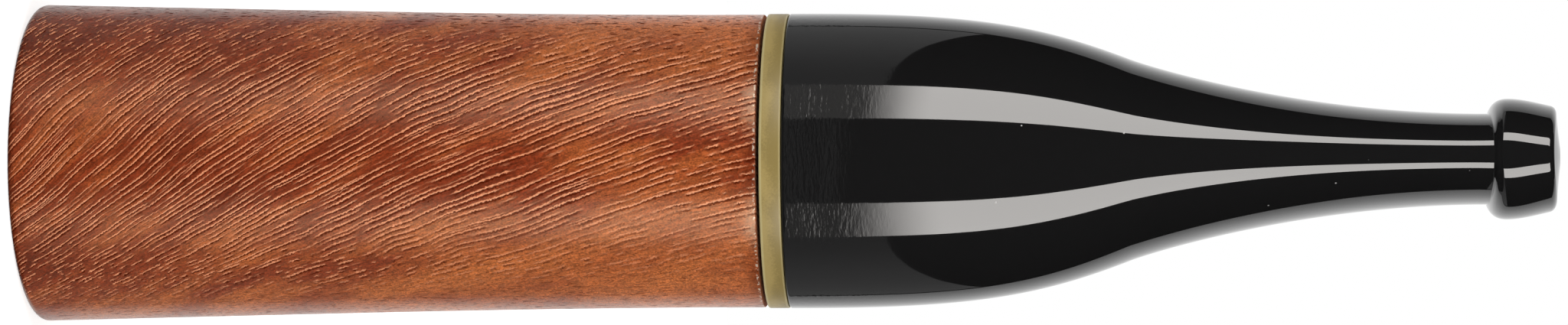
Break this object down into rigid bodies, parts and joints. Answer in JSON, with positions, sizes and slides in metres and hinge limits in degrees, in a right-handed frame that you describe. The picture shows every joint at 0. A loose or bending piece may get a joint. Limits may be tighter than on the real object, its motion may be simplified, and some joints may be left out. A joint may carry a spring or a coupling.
{
  "type": "cigar holder",
  "caption": "Turned wooden cigar holder: a tapered barrel with a conical socket, an amber ring and a black push-fit mouthpiece with a flattened lip, housing a charcoal filter.",
  "frame": {"origin": "centre of the flat rim round the mouth of the cigar socket, on the holder's axis", "axes": "+Z along the axis from the rim to the lip; X across the thin side of the flattened bit, Y across its wide side"},
  "size_m": [0.019, 0.019, 0.0907],
  "materials": {
    "briar": "stained, waxed and rubbed to a low sheen",
    "amber_acrylic": "polished",
    "black_acrylic": "polished",
    "tenon_plastic": "turned, satin",
    "filter_paper": "plain wrapped paper",
    "cap_ceramic": "unglazed",
    "cap_plastic": "moulded",
    "charcoal": "granules"
  },
  "bodies": {
    "barrel": {"barrel": "briar"},
    "tenon": {"tenon": "tenon_plastic"},
    "mouthpiece": {"mouthpiece": "black_acrylic", "accent_ring": "amber_acrylic"},
    "filter": {"filter_sleeve": "filter_paper", "filter_cap_front": "cap_ceramic", "filter_cap_rear": "cap_plastic", "filter_charcoal": "charcoal"}
  },
  "joints": [
    {"name": "mouthpiece_pull", "type": "slide", "parent": "barrel", "child": "tenon", "axis": [0, 0, 1], "range_m": [0, 0.03]},
    {"name": "mouthpiece_turn", "type": "hinge", "parent": "tenon", "child": "mouthpiece", "pos_m": [0, 0, 0.044], "axis": [0, 0, 1], "continuous": true},
    {"name": "filter_draw", "type": "slide", "parent": "tenon", "child": "filter", "axis": [0, 0, 1], "range_m": [-0.04, 0]}
  ]
}
